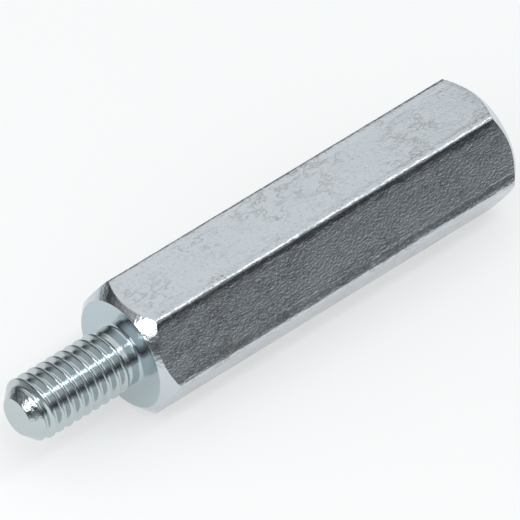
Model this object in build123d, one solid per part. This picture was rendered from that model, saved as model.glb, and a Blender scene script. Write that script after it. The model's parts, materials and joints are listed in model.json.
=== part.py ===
"""Male-female hexagon spacer: a hexagon bar with a threaded stud on one end and a tapped hole in the other.

The part is one solid. X runs along its axis, the stud points to -X, and Z is up with the body lying on
a flat. The origin is on the axis, in the plane of the shoulder that seats on the board.
Lengths are in millimetres. Threads are left plain: the stud has its crest diameter, with one cone for the
run-out at the shoulder, and the hole has its tapping drill diameter.
"""

from build123d import *
import math
import os

# Hexagon body
across_flats = 5.5
body_length = 20.0
corner_radius = 0.25        # the bar is drawn, so its six long edges are rounded
end_face_diameter = 5.05    # flat ring left inside the turned end chamfers
chamfer_angle = 45.0        # of the end chamfers, from the end face

# Stud, M3 x 0.5, rolled on a blank that is thinner than the finished crests
stud_length = 5.7
crest_diameter = 2.92
crest_rise = 0.12           # of the crests above the blank, on the radius
run_out_length = 0.95       # over which the crests fall to the blank at the shoulder
seat_clearance = 0.03       # from the crests out to where the flat shoulder begins
tip_face_diameter = 1.72
tip_length = 0.62

# Tapped hole, M3 x 0.5, blind
bore_diameter = 2.5
bore_depth = 10.0           # of the full-diameter drilling
drill_angle = 118.0
sink_diameter = 3.2
sink_angle = 90.0


crest_radius = crest_diameter / 2
blank_radius = crest_radius - crest_rise


def half_angle_depth(radial_step, angle):
    """Length of a cone that changes its radius by radial_step, for a full cone angle in degrees."""
    return radial_step / math.tan(math.radians(angle / 2))


def turned(points):
    """A solid of revolution about X from a closed outline of (x, radius) points."""
    outline = make_face(Polyline(*points, close=True))
    return revolve(outline, axis=Axis.X, revolution_arc=360)


def hexagon_bar():
    """The drawn bar, lying with one flat down, before its ends are turned."""
    hexagon = RegularPolygon(radius=across_flats / 2, side_count=6, major_radius=False)
    bar = extrude(Plane.YZ * hexagon, amount=body_length)
    return fillet(bar.edges().filter_by(Axis.X), corner_radius)


def end_envelope():
    """The double cone that both turned end chamfers lie on."""
    face_radius = end_face_diameter / 2
    outer_radius = across_flats
    reach = (outer_radius - face_radius) * math.tan(math.radians(chamfer_angle))
    return turned([
        (0, 0),
        (0, face_radius),
        (reach, outer_radius),
        (body_length - reach, outer_radius),
        (body_length, face_radius),
        (body_length, 0),
    ])


def stud():
    """Run-out cone, thread envelope and chamfered tip, sunk a little into the body for the union."""
    return turned([
        (1, 0),
        (1, blank_radius),
        (0, blank_radius),
        (-run_out_length, crest_radius),
        (-stud_length + tip_length, crest_radius),
        (-stud_length, tip_face_diameter / 2),
        (-stud_length, 0),
    ])


def tapped_hole():
    """Countersink, drilling and drill point, open at the plain end of the body."""
    bore_radius = bore_diameter / 2
    sink_radius = sink_diameter / 2
    sink_depth = half_angle_depth(sink_radius - bore_radius, sink_angle)
    point_depth = half_angle_depth(bore_radius, drill_angle)
    return turned([
        (body_length + 1, 0),
        (body_length + 1, sink_radius),
        (body_length, sink_radius),
        (body_length - sink_depth, bore_radius),
        (body_length - bore_depth, bore_radius),
        (body_length - bore_depth - point_depth, 0),
    ])


body = hexagon_bar() & end_envelope()
hex_spacer = body + stud()
shoulder_circle = [
    edge
    for edge in hex_spacer.edges().filter_by(GeomType.CIRCLE)
    if abs(edge.arc_center.X) < 1e-6 and abs(edge.radius - blank_radius) < 1e-6
]
corner_angle = math.pi / 2 - math.atan(crest_rise / run_out_length)
root_fillet = (crest_rise + seat_clearance) * math.tan(corner_angle / 2)
hex_spacer = fillet(shoulder_circle, root_fillet)
hex_spacer = hex_spacer - tapped_hole()

os.makedirs("parts", exist_ok=True)
export_step(hex_spacer, "parts/hex_spacer.step")
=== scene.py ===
# %% [markdown]
# # A male-female hexagon spacer in bright zinc
# The object is a small spacer of the kind that holds a circuit board off a panel: a hexagon bar with a
# threaded stud on one end and a tapped hole in the other. It is one piece of steel. The bar's ends and the
# stud's blank are turned, the stud's thread is rolled, the hole is drilled and tapped, and the whole is
# plated. This lesson builds it as one closed mesh, gives each kind of surface its own finish, and lights
# it on a small studio table.
#
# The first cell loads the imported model. Every size that it holds is read from it, so the looks can't drift
# away from the part.

import json
import math

import bpy
import numpy as np
from mathutils import Matrix, Vector

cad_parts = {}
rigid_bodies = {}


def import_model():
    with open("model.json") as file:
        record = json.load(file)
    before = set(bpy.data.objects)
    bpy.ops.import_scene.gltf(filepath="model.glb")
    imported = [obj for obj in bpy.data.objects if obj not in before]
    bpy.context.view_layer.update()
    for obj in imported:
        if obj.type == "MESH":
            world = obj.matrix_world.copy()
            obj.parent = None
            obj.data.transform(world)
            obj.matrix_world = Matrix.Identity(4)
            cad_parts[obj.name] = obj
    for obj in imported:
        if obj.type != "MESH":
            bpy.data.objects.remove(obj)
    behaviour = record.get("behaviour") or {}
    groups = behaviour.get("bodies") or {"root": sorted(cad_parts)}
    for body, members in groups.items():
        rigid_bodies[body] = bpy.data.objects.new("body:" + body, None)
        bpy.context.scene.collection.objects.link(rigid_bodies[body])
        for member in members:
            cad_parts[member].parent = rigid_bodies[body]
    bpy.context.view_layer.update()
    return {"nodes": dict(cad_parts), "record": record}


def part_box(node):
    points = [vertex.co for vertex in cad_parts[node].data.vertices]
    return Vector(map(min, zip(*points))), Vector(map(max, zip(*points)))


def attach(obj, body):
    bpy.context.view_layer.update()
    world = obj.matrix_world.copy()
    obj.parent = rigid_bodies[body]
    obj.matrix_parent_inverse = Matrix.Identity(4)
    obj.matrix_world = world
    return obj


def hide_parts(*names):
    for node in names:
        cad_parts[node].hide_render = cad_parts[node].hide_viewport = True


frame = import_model()
record = frame["record"]
print("nodes", sorted(frame["nodes"]))

# %% [markdown]
# ## Sizes
# A drawing of the real part gives a few sizes, and the rest follows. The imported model's box gives the
# width across the flats, the body's length and the stud's length, because the origin lies in the plane
# of the shoulder. Its mounts give the radius over the thread's crests and the radius of the hole. The
# width over two opposite rounded corners gives their radius. Lengths below are in millimetres, and the
# mesh is turned into metres once, when it is made.

# %% Read the driving sizes
MM = 0.001
low, high = (np.array(corner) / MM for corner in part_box("hex_spacer"))
mounts = {mount["name"]: mount for mount in record["mounts"]}

BODY_LENGTH = high[0]
STUD_LENGTH = -low[0]
ACROSS_FLATS = high[2] - low[2]
CORNER_RATIO = 2 / math.sqrt(3)
CORNER_RADIUS = (ACROSS_FLATS * CORNER_RATIO - (high[1] - low[1])) / (2 * (CORNER_RATIO - 1))
CREST_RADIUS = mounts["stud"]["dims"]["r_mm"]
BORE_RADIUS = mounts["tapped_hole"]["dims"]["r_mm"]
PITCH = 0.5             # of M3, in no mount and no box
print(f"body {BODY_LENGTH:.2f} x {ACROSS_FLATS:.2f} A/F, stud {STUD_LENGTH:.2f}, corners {CORNER_RADIUS:.3f}")

# %% [markdown]
# ## The section
# Drawn hexagon bar has flat sides and slightly rounded corners. Every ring of the mesh has the same number
# of points at the same angles, so the stud, the body and the hole join without a seam. The angles come
# from the bar's own section: nine points round each corner, and evenly spaced points along each flat.

# %% Points round the bar
CORNER_POINTS = 9
FLAT_POINTS = 19


def bar_section():
    """Points of the rounded hexagon, in the plane across the bar, counted from the +Y corner."""
    corner_reach = ACROSS_FLATS / math.sqrt(3)
    centre_reach = corner_reach - CORNER_RADIUS * CORNER_RATIO
    arcs = []
    for corner in range(6):
        middle = math.radians(60 * corner)
        turn = middle + np.radians(np.linspace(-30, 30, CORNER_POINTS))
        centre = centre_reach * np.array([math.cos(middle), math.sin(middle)])
        arcs.append(centre + CORNER_RADIUS * np.stack([np.cos(turn), np.sin(turn)], axis=1))
    points = []
    along = (1 - np.cos(np.linspace(0, math.pi, FLAT_POINTS + 2)))[1:-1, None] / 2
    for arc, next_arc in zip(arcs, arcs[1:] + arcs[:1]):
        points += [arc, arc[-1] + (next_arc[0] - arc[-1]) * along]
    return np.concatenate(points)


def rolled_over(points, corner, depth, width):
    """Press in the flat that follows a corner, most at the corner and fading out over a width."""
    middle = math.radians(60 * corner)
    outward = np.array([math.cos(middle + math.pi / 6), math.sin(middle + math.pi / 6)])
    onward = np.array([-outward[1], outward[0]])
    from_corner = points @ onward + ACROSS_FLATS * CORNER_RATIO / 4
    before = np.clip(1 + from_corner / (2 * CORNER_RADIUS), 0, 1) ** 2
    after = np.clip(1 - from_corner / width, 0, 1) ** 2
    near = points @ outward > 0
    return points - outward * (depth * np.where(from_corner < 0, before, after) * near)[:, None]


ROLL_DEPTH = 0.035
ROLL_WIDTH = 0.75
section = rolled_over(bar_section(), 2, ROLL_DEPTH, ROLL_WIDTH)
BAR_RADIUS = np.hypot(section[:, 0], section[:, 1])
ANGLE = np.unwrap(np.arctan2(section[:, 1], section[:, 0]))
AROUND = len(ANGLE)
print("points round each ring:", AROUND)

# %% [markdown]
# ## The profile
# A turned part is described by its profile: the line that a tool follows from the tip of the stud to the
# bottom of the hole. Here the profile is a list of rings. A ring has one place along the axis and one
# radius for each angle, because the hexagon and the threads change round the part.
#
# No real edge is perfectly sharp, and a plated one least of all. A small arc at each edge catches the
# light as a thin bright line, which is most of what makes a small metal part look real.

# %% Rings and rounded edges
ONES = np.ones(AROUND)


def ring(x, radius):
    """One ring: its place along the axis and its radius, each a number or a value per angle."""
    return np.stack([x * ONES, radius * ONES], axis=1)


def rings_between(first, last, count):
    """Evenly spaced rings between two rings, without either of them."""
    return [first + (last - first) * step for step in np.linspace(0, 1, count + 2)[1:-1]]


def rounded_edge(before, edge, after, radius, count=4):
    """Rings that replace a sharp edge with an arc, where before and after lie on its two sides."""
    to_before = before - edge
    to_after = after - edge
    to_before /= np.linalg.norm(to_before, axis=1)[:, None]
    to_after /= np.linalg.norm(to_after, axis=1)[:, None]
    half_turn = np.arccos(np.clip((to_before * to_after).sum(axis=1), -1, 1)) / 2
    bisector = to_before + to_after
    bisector /= np.linalg.norm(bisector, axis=1)[:, None]
    centre = edge + bisector * (radius / np.sin(half_turn))[:, None]
    start = edge + to_before * (radius / np.tan(half_turn))[:, None] - centre
    end = edge + to_after * (radius / np.tan(half_turn))[:, None] - centre
    spread = math.pi - 2 * half_turn
    rings = []
    for step in np.linspace(0, 1, count + 1):
        weight_start = np.sin((1 - step) * spread) / np.sin(spread)
        weight_end = np.sin(step * spread) / np.sin(spread)
        rings.append(centre + start * weight_start[:, None] + end * weight_end[:, None])
    return rings


print("a ring holds", ring(0, 1).shape, "numbers")

# %% [markdown]
# ## The thread
# An M3 thread has a pitch of 0.5 mm and flanks at 30 degrees to a plane across the axis. Rolling squeezes
# the steel up from the grooves, so the crests and roots are round, and the plain neck at the shoulder
# keeps the blank's own diameter, between root and crest. The helix rises towards the shoulder as it turns
# from +Y to +Z, which makes it right-handed.
#
# A thread could be made with a screw modifier, but its ends would need trimming and joining. Here it is a
# height field over the plain cylinder instead: one formula gives the radius at every angle and place, so it
# fades out at the neck, is cut off by the cone of the tip, and needs no joining at all.

# %% Thread formula
ROOT_RADIUS = 1.17
NECK_RADIUS = 1.34
NECK_LENGTH = 0.45
RUN_OUT = 0.55          # over which the groove and the crest fade into the neck
CREST_BLEND = 0.05      # depth over which a crest rounds into its flanks, and a root below
ROOT_BLEND = 0.05
FLANK_SLOPE = 1 / math.tan(math.radians(30))
CREST_WIDTH = PITCH / 8
HELIX_START = -0.053    # place of a crest at angle zero


def soft_min(a, b, blend):
    """The smaller of two values, with a round change from one to the other."""
    near = np.clip(0.5 + 0.5 * (b - a) / blend, 0, 1)
    return b + (a - b) * near - blend * near * (1 - near)


def smooth_step(value, start, end):
    """0 before start, 1 after end, and a smooth rise between them."""
    t = np.clip((value - start) / (end - start), 0, 1)
    return t * t * (3 - 2 * t)


def thread_radius(x, crest, root, crest_width):
    """Radius of a thread at place x for every angle. Crest and root are swapped for an inside thread."""
    turns = (x - HELIX_START) / PITCH - ANGLE / (2 * math.pi)
    from_crest = PITCH * np.abs(turns - np.round(turns))
    sign = 1 if crest > root else -1
    flank = crest - sign * np.maximum(from_crest - crest_width / 2, -crest_width) * FLANK_SLOPE
    capped = sign * soft_min(sign * flank, sign * crest * ONES, CREST_BLEND)
    return -sign * soft_min(-sign * capped, -sign * root * ONES, ROOT_BLEND)


probe = thread_radius(-3.0, CREST_RADIUS, ROOT_RADIUS, CREST_WIDTH)
print(f"thread runs from radius {probe.min():.3f} to {probe.max():.3f}")

# %% [markdown]
# ## The stud
# The stud's tip is a small flat with a wide cone behind it, which leads the screw into its nut. The first
# thread starts where the groove breaks through the cone.

# %% Stud rings
TIP_RADIUS = 0.86
TIP_CONE = 0.62
TIP_EDGE = 0.05
TIP_BLEND = 0.06        # over which the cone rounds into the thread
THREAD_STEPS = 26       # rings for each pitch
tip_x = -STUD_LENGTH


def stud_radius(x):
    """The threaded stud's radius for every angle: thread, run-out and the cone of the tip."""
    thread = thread_radius(x, CREST_RADIUS, ROOT_RADIUS, CREST_WIDTH)
    fade = smooth_step(-x, NECK_LENGTH, NECK_LENGTH + RUN_OUT)
    body = NECK_RADIUS + (thread - NECK_RADIUS) * fade
    cone = TIP_RADIUS + (x - tip_x) * (CREST_RADIUS - TIP_RADIUS) / TIP_CONE
    return soft_min(body, cone * ONES, TIP_BLEND)


profile = [ring(tip_x, share * TIP_RADIUS) for share in (0.25, 0.5, 0.75)]
cone_foot = ring(tip_x + TIP_CONE / 4, TIP_RADIUS + (CREST_RADIUS - TIP_RADIUS) / 4)
profile += rounded_edge(ring(tip_x, 0.5 * TIP_RADIUS), ring(tip_x, TIP_RADIUS), cone_foot, TIP_EDGE)
first = profile[-1][0, 0] + PITCH / THREAD_STEPS
last = -NECK_LENGTH + 0.05
for x in np.linspace(first, last, round((last - first) / PITCH * THREAD_STEPS)):
    profile.append(ring(x, stud_radius(x)))
stud_rings = len(profile)
print("rings in the stud:", stud_rings)

# %% [markdown]
# ## The body
# The shoulder meets the neck in a small fillet. Both ends of the bar are turned to a cone, so each flat
# ends in a curved line where the cone cuts it, and each long corner ends in a point of that line. The mesh
# gets this for nothing: the cone runs out to the bar's own radius, which is larger at the corners.

# %% Body rings
END_RADIUS = 2.525      # of the flat ring inside the end cones
SEAT_CLEARANCE = 0.03
SHOULDER_EDGE = 0.03
FLAT_EDGE = 0.05
fillet = CREST_RADIUS - NECK_RADIUS + SEAT_CLEARANCE
cone_reach = BAR_RADIUS - END_RADIUS

shoulder_edge = ring(0, END_RADIUS)
front_edge = ring(cone_reach, BAR_RADIUS)
back_edge = ring(BODY_LENGTH - cone_reach, BAR_RADIUS)
end_edge = ring(BODY_LENGTH, END_RADIUS)

for turn in np.radians(np.linspace(0, 90, 7)):
    x = -fillet + fillet * math.sin(turn)
    profile.append(ring(x, NECK_RADIUS + fillet - fillet * math.cos(turn)))
seat = profile[-1]
profile += rings_between(seat, shoulder_edge, 6)
profile += rounded_edge(seat, shoulder_edge, front_edge, SHOULDER_EDGE)
shoulder_rings = len(profile)
profile += rings_between(profile[-1], front_edge, 3)
profile += rounded_edge(shoulder_edge, front_edge, back_edge, FLAT_EDGE)
cone_rings = len(profile)
start = profile[-1]
back_arc = rounded_edge(front_edge, back_edge, end_edge, FLAT_EDGE)
profile += rings_between(start, back_arc[0], 60)
flat_rings = len(profile)
profile += back_arc
profile += rings_between(profile[-1], end_edge, 3)
print("rings in the body:", len(profile) - stud_rings)

# %% [markdown]
# ## The thread in the hole
# The hole is drilled with a pointed drill, countersunk and tapped. Its thread is the stud's, turned inside
# out: the crests point inwards, at the tapping drill's radius.

# %% Hole rings
SINK_RADIUS = 1.6
BORE_ROOT_RADIUS = 1.5
BORE_DEPTH = 10.0
BORE_THREAD = 8.0
BORE_STEPS = 10
POINT_ANGLE = 118.0
sink_edge = ring(BODY_LENGTH, SINK_RADIUS)
sink_foot = ring(BODY_LENGTH - (SINK_RADIUS - BORE_RADIUS), BORE_RADIUS)

profile += rounded_edge(back_edge, end_edge, sink_edge, SHOULDER_EDGE)
chamfer_rings = len(profile) - 3
profile += rings_between(profile[-1], sink_edge, 3)
end_rings = len(profile)
profile += rounded_edge(end_edge, sink_edge, sink_foot, SHOULDER_EDGE)


def bore_radius(depth):
    """The tapped hole's radius at a depth below its face, for every angle."""
    thread = thread_radius(BODY_LENGTH - depth, BORE_RADIUS, BORE_ROOT_RADIUS, PITCH / 4)
    fade = 1 - smooth_step(depth, BORE_THREAD, BORE_THREAD + PITCH)
    tapped = BORE_RADIUS + (thread - BORE_RADIUS) * fade
    return np.maximum(tapped, SINK_RADIUS - depth)


for depth in np.linspace(0.05, BORE_THREAD + PITCH, round((BORE_THREAD + PITCH) / PITCH * BORE_STEPS)):
    profile.append(ring(BODY_LENGTH - depth, bore_radius(depth)))
profile.append(ring(BODY_LENGTH - BORE_DEPTH, BORE_RADIUS))
point_x = BODY_LENGTH - BORE_DEPTH - BORE_RADIUS / math.tan(math.radians(POINT_ANGLE / 2))
profile.append(ring((BODY_LENGTH - BORE_DEPTH + point_x) / 2, BORE_RADIUS / 2))
print("rings in all:", len(profile))

# %% [markdown]
# ## The mesh
# The rings become one closed skin: a fan of triangles at the tip, a band of four-sided faces between each
# ring and the next, and a fan at the bottom of the hole. Each band belongs to one kind of surface, so each
# can have its own finish.

# %% Build the skin
SURFACES = {"thread": 0, "seats": 1, "chamfers": 2, "flats": 3, "hole": 4}


def surface_of(band):
    """Which finish the band between ring number band and the next one has. Edge arcs are shared out."""
    last_rings = [stud_rings, shoulder_rings - 3, cone_rings - 3, flat_rings + 2, chamfer_rings, end_rings]
    kinds = ["thread", "seats", "chamfers", "flats", "chamfers", "seats"]
    for last_ring, kind in zip(last_rings, kinds):
        if band < last_ring:
            return SURFACES[kind]
    return SURFACES["hole"]


def build_skin(name):
    """The spacer's closed mesh, in metres."""
    grid = np.array(profile)
    x, radius = grid[:, :, 0], grid[:, :, 1]
    points = np.stack([x, radius * np.cos(ANGLE), radius * np.sin(ANGLE)], axis=2).reshape(-1, 3)
    tip = len(points)
    points = np.concatenate([points, [[tip_x, 0, 0], [point_x, 0, 0]]]) * MM
    faces, kinds = [], []
    for j in range(AROUND):
        faces.append((tip, (j + 1) % AROUND, j))
        kinds.append(SURFACES["thread"])
    for band in range(len(grid) - 1):
        kind = surface_of(band)
        a, b = band * AROUND, (band + 1) * AROUND
        for j in range(AROUND):
            k = (j + 1) % AROUND
            faces.append((a + j, a + k, b + k, b + j))
            kinds.append(kind)
    bottom = (len(grid) - 1) * AROUND
    for j in range(AROUND):
        faces.append((bottom + j, bottom + (j + 1) % AROUND, tip + 1))
        kinds.append(SURFACES["hole"])
    mesh = bpy.data.meshes.new(name)
    mesh.from_pydata(points.tolist(), [], faces)
    mesh.polygons.foreach_set("material_index", kinds)
    mesh.polygons.foreach_set("use_smooth", [True] * len(faces))
    mesh.validate()
    return mesh


spacer = bpy.data.objects.new("threaded_hex_spacer", build_skin("threaded_hex_spacer"))
bpy.context.scene.collection.objects.link(spacer)
triangles = sum(len(face.vertices) - 2 for face in spacer.data.polygons)
print("triangles:", triangles)

# %% [markdown]
# ## Tools for the finishes
# Colours are given as people write them, in sRGB hex, and one function turns them into the linear light
# that the renderer works in. One small function adds a node with its settings and links.
#
# Patterns are sized in millimetres. A mapping node turns the piece's own metres into millimetres, and
# dividing its scale along the bar stretches a pattern that way.

# %% Colour and node helpers
PER_MM = 1 / MM         # mapping scale that turns metres into millimetres
GRAIN = 0.5             # grain of noise at scale 1, so GRAIN / 0.1 gives grains about 0.1 mm across
SMOOTH = {"interpolation_type": "SMOOTHSTEP"}
MULTIPLY = {"operation": "MULTIPLY"}
LARGER = {"operation": "MAXIMUM"}


def linear(hex_colour, alpha=1.0):
    """Linear RGBA of an sRGB colour such as '#d8dde0'."""
    channels = [int(hex_colour[i:i + 2], 16) / 255 for i in (1, 3, 5)]
    return tuple(c / 12.92 if c <= 0.04045 else ((c + 0.055) / 1.055) ** 2.4 for c in channels) + (alpha,)


def add_node(tree, kind, settings=None, **inputs):
    """A new node with its own settings. An input is a value, a socket to link from, or a node, which
    stands for its first output. An input is named, with _ for a space, or numbered, as in _0."""
    node = tree.nodes.new(kind)
    for key, value in (settings or {}).items():
        setattr(node, key, value)
    for key, value in inputs.items():
        socket = node.inputs[int(key[1:])] if key[0] == "_" else node.inputs[key.replace("_", " ")]
        if isinstance(value, bpy.types.Node):
            value = value.outputs[0]
        if isinstance(value, bpy.types.NodeSocket):
            tree.links.new(value, socket)
        else:
            socket.default_value = value
    return node


def new_metal(name, colour, roughness):
    """A material that holds one metal shader, with its tree and shader."""
    material = bpy.data.materials.new(name)
    material.use_nodes = True
    tree = material.node_tree
    shader = tree.nodes["Principled BSDF"]
    shader.inputs["Base Color"].default_value = linear(colour)
    shader.inputs["Metallic"].default_value = 1.0
    shader.inputs["Roughness"].default_value = roughness
    return material, tree, shader


print("a mid grey in linear light:", round(linear("#808080")[0], 3))

# %% [markdown]
# ## The drawn flats: relief
# Drawing leaves the bar with a fine grain and long faint lines, and handling dents its long edges. Bright
# zinc plating is thin and copies all of it. The eye gets a fine sparkle on the flats and a broken highlight
# along the edges. Bumps do for this, because nothing here is deep enough to change the outline.
#
# The dents and the lines are held to the edges by the distance from the axis, which is 2.75 mm in the
# middle of a flat and 3.14 mm at a corner.

# %% Grain, pits, dents and draw lines
ZINC = "#cbd1d6"
flats, t, shader = new_metal("zinc_plate_on_drawn_bar", ZINC, 0.24)
place = add_node(t, "ShaderNodeTexCoord").outputs["Object"]
stretched = {amount: add_node(t, "ShaderNodeMapping", Vector=place, Scale=(PER_MM / amount, PER_MM, PER_MM))
             for amount in (1, 1.3, 1.5, 1.8, 2, 2.5, 14, 16)}
across = add_node(t, "ShaderNodeMapping", Vector=place, Scale=(0, PER_MM, PER_MM))
from_axis = add_node(t, "ShaderNodeVectorMath", {"operation": "LENGTH"}, _0=across).outputs["Value"]

grit = add_node(t, "ShaderNodeTexNoise", Vector=stretched[1.5], Scale=GRAIN / 0.045, Detail=3, Roughness=0.55)
pit_noise = add_node(t, "ShaderNodeTexNoise", Vector=stretched[1.3], Scale=GRAIN / 0.10,
                     Detail=1, Roughness=0.6)
pits = add_node(t, "ShaderNodeMapRange", SMOOTH, Value=pit_noise, From_Min=0.60, From_Max=0.68)
dent_noise = add_node(t, "ShaderNodeTexNoise", Vector=stretched[2], Scale=GRAIN / 0.25,
                      Detail=3, Roughness=0.6)
dent_place = add_node(t, "ShaderNodeMapRange", SMOOTH, Value=from_axis, From_Min=2.95, From_Max=3.08)
dents = add_node(t, "ShaderNodeMath", MULTIPLY, _0=dent_noise, _1=dent_place)
line_noise = add_node(t, "ShaderNodeTexNoise", Vector=stretched[16], Scale=GRAIN / 0.06,
                      Detail=3, Roughness=0.6)
line_place = add_node(t, "ShaderNodeMapRange", SMOOTH, Value=from_axis, From_Min=2.80, From_Max=2.98)
draw_lines = add_node(t, "ShaderNodeMath", MULTIPLY, _0=line_noise, _1=line_place)

normal = add_node(t, "ShaderNodeBump", Height=grit, Distance=0.015 * MM)
normal = add_node(t, "ShaderNodeBump", Height=pits, Distance=0.0016 * MM, Normal=normal)
normal = add_node(t, "ShaderNodeBump", Height=dents, Distance=0.04 * MM, Normal=normal)
normal = add_node(t, "ShaderNodeBump", Height=draw_lines, Distance=0.010 * MM, Normal=normal)
t.links.new(normal.outputs[0], shader.inputs["Normal"])
print(flats.name, "relief,", len(t.nodes), "nodes")

# %% [markdown]
# ## The drawn flats: stains
# Plating salts that dry on the metal leave thin brownish veins, specks and hairlines. The veins follow the
# places where a noise passes through its middle value, which gives one long wandering line where a plain
# threshold would give blobs. The strongest of the three marks wins at each place, so that they don't add up
# to a dirty brown.

# %% Veins, specks and hairlines
ZINC_STAINED = "#8f8a86"
vein_noise = add_node(t, "ShaderNodeTexNoise", Vector=stretched[1.8], Scale=GRAIN / 0.45,
                      Detail=8, Roughness=0.72)
from_middle = add_node(t, "ShaderNodeMath", {"operation": "SUBTRACT"}, _0=vein_noise, _1=0.5)
off_line = add_node(t, "ShaderNodeMath", {"operation": "ABSOLUTE"}, _0=from_middle)
vein = add_node(t, "ShaderNodeMapRange", SMOOTH, Value=off_line, From_Max=0.022, To_Min=1, To_Max=0)
patch_noise = add_node(t, "ShaderNodeTexNoise", Vector=stretched[1], Scale=GRAIN / 1.2,
                       Detail=2, Roughness=0.6)
patches = add_node(t, "ShaderNodeMapRange", SMOOTH, Value=patch_noise, From_Min=0.40, From_Max=0.60)
veins = add_node(t, "ShaderNodeMath", MULTIPLY, _0=vein, _1=patches)
veins = add_node(t, "ShaderNodeMath", MULTIPLY, _0=veins, _1=0.75)

speck_noise = add_node(t, "ShaderNodeTexNoise", Vector=stretched[1.5], Scale=GRAIN / 0.05,
                       Detail=2, Roughness=0.6)
specks = add_node(t, "ShaderNodeMapRange", SMOOTH, Value=speck_noise, From_Min=0.56, From_Max=0.70)
specks = add_node(t, "ShaderNodeMath", MULTIPLY, _0=specks, _1=0.30)
hair_noise = add_node(t, "ShaderNodeTexNoise", Vector=stretched[14], Scale=GRAIN / 0.05,
                      Detail=2, Roughness=0.6)
hairs = add_node(t, "ShaderNodeMapRange", SMOOTH, Value=hair_noise, From_Min=0.66, From_Max=0.72)
hairs = add_node(t, "ShaderNodeMath", MULTIPLY, _0=hairs, _1=0.4)

stain = add_node(t, "ShaderNodeMath", LARGER, _0=veins, _1=specks)
stain = add_node(t, "ShaderNodeMath", LARGER, _0=stain, _1=hairs)
stained = add_node(t, "ShaderNodeMix", {"data_type": "RGBA"}, _0=stain, _6=linear(ZINC),
                   _7=linear(ZINC_STAINED)).outputs[2]
print(flats.name, "stains,", len(t.nodes), "nodes")

# %% [markdown]
# ## The drawn flats: painted dark reflection
# One long edge was rolled over, and below it a band about half a millimetre wide is painted dark: a painted
# reflection of dark surroundings, put into the colour. The band is found from two distances, out from the axis
# towards that flat and along the flat from its middle, and noise makes its lower border ragged. The flats'
# shine also varies a little, since handling dulls it.

# %% Painted dark reflection band and uneven shine
PAINTED_DARK_REFLECTION = "#4c4f54"
flat_angle = math.radians(150)
outward = (0, math.cos(flat_angle), math.sin(flat_angle))
onward = (0, -outward[2], outward[1])
edge_place = -ACROSS_FLATS * CORNER_RATIO / 4       # of the rolled edge, along the flat from its middle
dot_product = {"operation": "DOT_PRODUCT"}
out = add_node(t, "ShaderNodeVectorMath", dot_product, _0=stretched[1], _1=outward).outputs["Value"]
along_flat = add_node(t, "ShaderNodeVectorMath", dot_product, _0=stretched[1], _1=onward).outputs["Value"]
rag_noise = add_node(t, "ShaderNodeTexNoise", Vector=stretched[2.5], Scale=GRAIN / 0.12,
                     Detail=4, Roughness=0.6)
ragged = add_node(t, "ShaderNodeMath", {"operation": "MULTIPLY_ADD"}, _0=rag_noise, _1=0.55, _2=along_flat)
near_edge = add_node(t, "ShaderNodeMapRange", SMOOTH, Value=ragged, From_Min=edge_place + 0.85,
                     From_Max=edge_place + 0.55)
on_flat = add_node(t, "ShaderNodeMapRange", SMOOTH, Value=out, From_Min=2.66, From_Max=2.70)
band = add_node(t, "ShaderNodeMath", MULTIPLY, _0=near_edge, _1=on_flat)
band = add_node(t, "ShaderNodeMath", MULTIPLY, _0=band, _1=0.75)
# The band paints a dark reflection into the flats' colour below the rolled edge.
coloured = add_node(t, "ShaderNodeMix", {"data_type": "RGBA"}, _0=band, _6=stained, _7=linear(PAINTED_DARK_REFLECTION)).outputs[2]
t.links.new(coloured, shader.inputs["Base Color"])

shine_noise = add_node(t, "ShaderNodeTexNoise", Vector=stretched[1.5], Scale=GRAIN / 0.5,
                       Detail=4, Roughness=0.6)
shine = add_node(t, "ShaderNodeMapRange", SMOOTH, Value=shine_noise, From_Min=0.3, From_Max=0.7,
                 To_Min=0.15, To_Max=0.22)
t.links.new(shine.outputs[0], shader.inputs["Roughness"])
print(flats.name, "in all,", len(t.nodes), "nodes")

# %% [markdown]
# ## The turned chamfers
# A lathe tool cuts the cones at the ends of the bar, and the plating over them is smoother than on the
# drawn flats but still grainy. The eye sees a soft mirror with a slightly pebbled skin.

# %% Chamfer finish
chamfers, t, shader = new_metal("zinc_plate_on_turned_chamfer", ZINC, 0.2)
place = add_node(t, "ShaderNodeTexCoord").outputs["Object"]
plain = add_node(t, "ShaderNodeMapping", Vector=place, Scale=(PER_MM, PER_MM, PER_MM))
grit = add_node(t, "ShaderNodeTexNoise", Vector=plain, Scale=GRAIN / 0.075, Detail=2, Roughness=0.5)
normal = add_node(t, "ShaderNodeBump", Height=grit, Distance=0.014 * MM)
t.links.new(normal.outputs[0], shader.inputs["Normal"])
shine_noise = add_node(t, "ShaderNodeTexNoise", Vector=plain, Scale=GRAIN / 0.5, Detail=3, Roughness=0.6)
shine = add_node(t, "ShaderNodeMapRange", SMOOTH, Value=shine_noise, From_Min=0.3, From_Max=0.7,
                 To_Min=0.12, To_Max=0.18)
t.links.new(shine.outputs[0], shader.inputs["Roughness"])
print(chamfers.name, len(t.nodes), "nodes")

# %% [markdown]
# ## The turned faces
# A facing cut leaves very fine rings round the axis. One-dimensional noise of the distance from the axis
# gives rings of uneven depth, and they bend the reflection of the stud only a little, so the eye still
# reads the shoulder as a mirror.

# %% Shoulder and end finish
ZINC_SMOOTH = "#bac7cc"
seats, t, shader = new_metal("zinc_plate_on_turned_face", ZINC_SMOOTH, 0.13)
place = add_node(t, "ShaderNodeTexCoord").outputs["Object"]
across = add_node(t, "ShaderNodeMapping", Vector=place, Scale=(0, PER_MM, PER_MM))
from_axis = add_node(t, "ShaderNodeVectorMath", {"operation": "LENGTH"}, _0=across).outputs["Value"]
rings = add_node(t, "ShaderNodeTexNoise", {"noise_dimensions": "1D"}, W=from_axis, Scale=12.0, Detail=3.0)
normal = add_node(t, "ShaderNodeBump", Height=rings, Distance=0.0012 * MM)
t.links.new(normal.outputs[0], shader.inputs["Normal"])
print(seats.name, len(t.nodes), "nodes")

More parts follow.
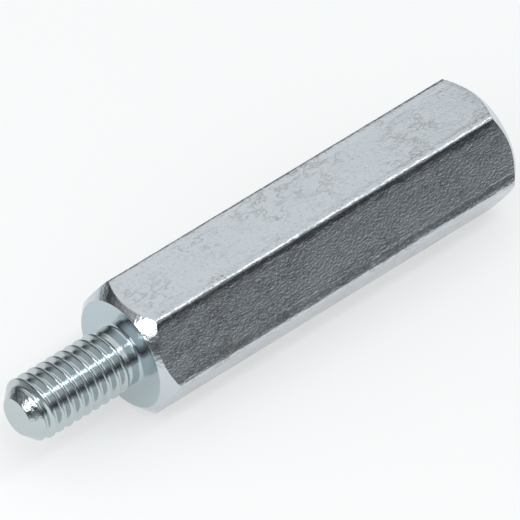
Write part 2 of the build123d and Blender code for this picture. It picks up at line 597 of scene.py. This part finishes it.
# %% [markdown]
# ## The rolled thread
# Rolling dies press the steel smooth, so the thread is the brightest surface of the part. Light scuffs run
# round it, squeezed along the axis by the mapping. The tip is knocked about by other parts in the barrel
# where the spacers are plated, so it has coarser and deeper marks, which fade out up the cone.

# %% Thread finish
rolled, t, shader = new_metal("zinc_plate_on_rolled_thread", "#bfc8cb", 0.12)
place = add_node(t, "ShaderNodeTexCoord").outputs["Object"]
plain = add_node(t, "ShaderNodeMapping", Vector=place, Scale=(PER_MM, PER_MM, PER_MM))
squeezed = add_node(t, "ShaderNodeMapping", Vector=place, Scale=(PER_MM / 0.4, PER_MM, PER_MM))
scuffs = add_node(t, "ShaderNodeTexNoise", Vector=squeezed, Scale=GRAIN / 0.07, Detail=4, Roughness=0.6)
along_axis = add_node(t, "ShaderNodeSeparateXYZ", Vector=plain).outputs["X"]
cone_end = tip_x + TIP_CONE
on_tip = add_node(t, "ShaderNodeMapRange", SMOOTH, Value=along_axis, From_Min=cone_end - 0.1,
                  From_Max=cone_end - 0.25)
knock_noise = add_node(t, "ShaderNodeTexNoise", Vector=plain, Scale=GRAIN / 0.09, Detail=2, Roughness=0.6)
knocks = add_node(t, "ShaderNodeMath", MULTIPLY, _0=knock_noise, _1=on_tip)
normal = add_node(t, "ShaderNodeBump", Height=scuffs, Distance=0.006 * MM)
normal = add_node(t, "ShaderNodeBump", Height=knocks, Distance=0.022 * MM, Normal=normal)
t.links.new(normal.outputs[0], shader.inputs["Normal"])
print(rolled.name, len(t.nodes), "nodes")

# %% [markdown]
# ## The tapped hole
# Plating reaches the inside of a blind hole thinly, so it is greyer and duller there. It gets one even
# colour and roughness, because hardly any light comes back out of it.

# %% Hole finish, and all finishes onto the mesh
tapped, t, shader = new_metal("zinc_plate_in_tapped_hole", "#a9aeb2", 0.3)
for material in (rolled, seats, chamfers, flats, tapped):       # in the order of SURFACES
    spacer.data.materials.append(material)

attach(spacer, "root")
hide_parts("hex_spacer")
print("finishes:", [material.name for material in spacer.data.materials])

# %% [markdown]
# ## The table
# Polished metal shows what stands round it, so the studio is half of the finish. The spacer lies on a pale
# opal sheet lit faintly from below. It fills the lower half of every reflection, and its own glow keeps the
# spacer's underside from going black.

# %% Table
TABLE_REACH = 0.6       # from the middle to each side, in metres
floor_mesh = bpy.data.meshes.new("table")
floor_mesh.from_pydata([
    (-TABLE_REACH, -TABLE_REACH, 0),
    (TABLE_REACH, -TABLE_REACH, 0),
    (TABLE_REACH, TABLE_REACH, 0),
    (-TABLE_REACH, TABLE_REACH, 0),
], [], [(0, 1, 2, 3)])
floor = bpy.data.objects.new("table", floor_mesh)
floor.location.z = low[2] * MM
bpy.context.scene.collection.objects.link(floor)
table_paint = bpy.data.materials.new("opal_light_table")
table_paint.use_nodes = True
table_shader = table_paint.node_tree.nodes["Principled BSDF"]
table_shader.inputs["Base Color"].default_value = linear("#a4a6a6")
table_shader.inputs["Roughness"].default_value = 0.8
table_shader.inputs["Emission Color"].default_value = linear("#ffffff")
table_shader.inputs["Emission Strength"].default_value = 0.50
floor_mesh.materials.append(table_paint)
print(f"table at z {low[2]:.2f} mm")

# %% [markdown]
# ## The soft light
# A big diffuser overhead is the main light in a small-parts studio. The world does the same work here: one
# pale colour from every side, which leaves no hard shadow.

# %% Sky of the studio
world = bpy.data.worlds.new("studio")
bpy.context.scene.world = world
world.use_nodes = True
sky = world.node_tree.nodes["Background"]
sky.inputs["Color"].default_value = linear("#f6f8f9")
sky.inputs["Strength"].default_value = 1.02
print("sky strength", round(sky.inputs["Strength"].default_value, 2))

# %% [markdown]
# ## The dark card
# Metal with only white round it looks like paper. A dark card standing round the table gives each flat and
# each thread a dark side, and it is taller behind the stud, where the shoulder looks. The card's shades are
# painted light: it glows with them instead of being lit, dark grey above and painted lighter at its foot,
# where the table would light it. Only reflections see it, so that it takes no light away.

# %% Dark card round the table
CARD_DISTANCE = 42.0
CARD_HEIGHT = 30.0
CARD_PEAK = 22.0        # how much taller it is behind the stud
PEAK_ANGLE = math.radians(140)
CARD_SIDES = 64
CARD_PAINTED_SHADES = ((0.09, "#a8acaf"), (1.0, "#181b1d"), (0.20, "#202326"))      # height share and colour

compass = [2 * math.pi * side / CARD_SIDES for side in range(CARD_SIDES)]
ring_points = [(CARD_DISTANCE * math.cos(way), CARD_DISTANCE * math.sin(way)) for way in compass]
card_points = [(x * MM, y * MM, low[2] * MM) for x, y in ring_points]
for x, y in ring_points:
    toward_peak = max(0.0, math.cos(math.atan2(y, x) - PEAK_ANGLE))
    card_points.append((x * MM, y * MM, (low[2] + CARD_HEIGHT + CARD_PEAK * toward_peak ** 2) * MM))
card_faces = [(i, (i + 1) % CARD_SIDES, CARD_SIDES + (i + 1) % CARD_SIDES, CARD_SIDES + i)
              for i in range(CARD_SIDES)]
card_mesh = bpy.data.meshes.new("dark_card")
card_mesh.from_pydata(card_points, [], card_faces)
card = bpy.data.objects.new("dark_card", card_mesh)
card.location.x = (low[0] + high[0]) / 2 * MM
bpy.context.scene.collection.objects.link(card)

card_paint = bpy.data.materials.new("card_with_painted_glow")
card_paint.use_nodes = True
card_tree = card_paint.node_tree
card_shader = card_tree.nodes["Principled BSDF"]
card_place = add_node(card_tree, "ShaderNodeTexCoord").outputs["Generated"]
card_height = add_node(card_tree, "ShaderNodeSeparateXYZ", Vector=card_place).outputs["Z"]
card_ramp = add_node(card_tree, "ShaderNodeValToRGB", Fac=card_height)
stops = [*card_ramp.color_ramp.elements, card_ramp.color_ramp.elements.new(0.20)]
for stop, (height, colour) in zip(stops, CARD_PAINTED_SHADES):
    stop.position = height
    stop.color = linear(colour)
# The card glows with the ramp's colours, which are painted light: dark grey above, painted lighter at the
# foot.
card_tree.links.new(card_ramp.outputs["Color"], card_shader.inputs["Emission Color"])
card_shader.inputs["Emission Strength"].default_value = 1.0
card_shader.inputs["Base Color"].default_value = linear("#000000")
card_shader.inputs["Specular IOR Level"].default_value = 0.0
card_mesh.materials.append(card_paint)
for ray in ("camera", "diffuse", "shadow", "transmission"):
    setattr(card, "visible_" + ray, False)
print("card", CARD_HEIGHT, "to", CARD_HEIGHT + CARD_PEAK, "mm tall")

# %% [markdown]
# ## The lamps
# Two lamps give the narrow highlights. A long strip above runs beside the bar and draws the thin line along
# its upper edge and the crests. A small lamp close to the stud's end lights one vertex of the front chamfer.


# %% Lamps
def lamp(name, toward, distance, long_side, short_side, brightness):
    """A soft lamp in the direction toward, with its long side along the part, given by its brightness."""
    data = bpy.data.lights.new(name, "AREA")
    data.shape = "RECTANGLE"
    data.size, data.size_y = long_side, short_side
    data.energy = brightness * math.pi * long_side * short_side
    way = Vector(toward).normalized()
    side = (Vector((1, 0, 0)) - way * way.x).normalized()
    thing = bpy.data.objects.new(name, data)
    facing = Matrix((side, way.cross(side), way)).transposed().to_4x4()
    thing.matrix_world = Matrix.Translation(way * distance) @ facing
    thing.visible_camera = False
    bpy.context.scene.collection.objects.link(thing)
    print(name, f"{data.energy:.5f} W")
    return thing


lamp("strip_lamp", toward=(0.30, -0.33, 0.90), distance=0.5, long_side=0.8, short_side=0.06, brightness=4.5)
lamp("side_lamp", toward=(-0.87, -0.14, 0.47), distance=0.038,
     long_side=0.020, short_side=0.016, brightness=3.2)

# %% [markdown]
# ## Camera
# A long lens from well away keeps the bar's edges nearly parallel. The camera looks down on the spacer from
# the stud's end, and is turned a little about its own axis.

# %% Camera
AZIMUTH, ELEVATION, ROLL = (math.radians(angle) for angle in (-42.10, 44.72, 1.17))
DISTANCE = 0.5162
middle = Vector((low + high) / 2 * MM)
aim = middle + Vector((0.979, 0.425, 0.0)) * MM     # a little off the middle, to frame the stud
back = Vector((
    math.sin(AZIMUTH) * math.cos(ELEVATION),
    -math.cos(AZIMUTH) * math.cos(ELEVATION),
    math.sin(ELEVATION),
))
camera_data = bpy.data.cameras.new("camera")
camera_data.lens = 848.15       # long, to suit the distance
camera_data.sensor_width = 36.0
camera_data.clip_start = 0.01
camera_data.clip_end = 10.0
camera = bpy.data.objects.new("camera", camera_data)
turn = Matrix.Rotation(ROLL, 4, back) @ back.to_track_quat("Z", "Y").to_matrix().to_4x4()
camera.matrix_world = Matrix.Translation(aim + back * DISTANCE) @ turn
bpy.context.scene.collection.objects.link(camera)
bpy.context.scene.camera = camera
bpy.context.scene.view_settings.view_transform = "Standard"
print("camera", round(DISTANCE, 3), "m from its aim")
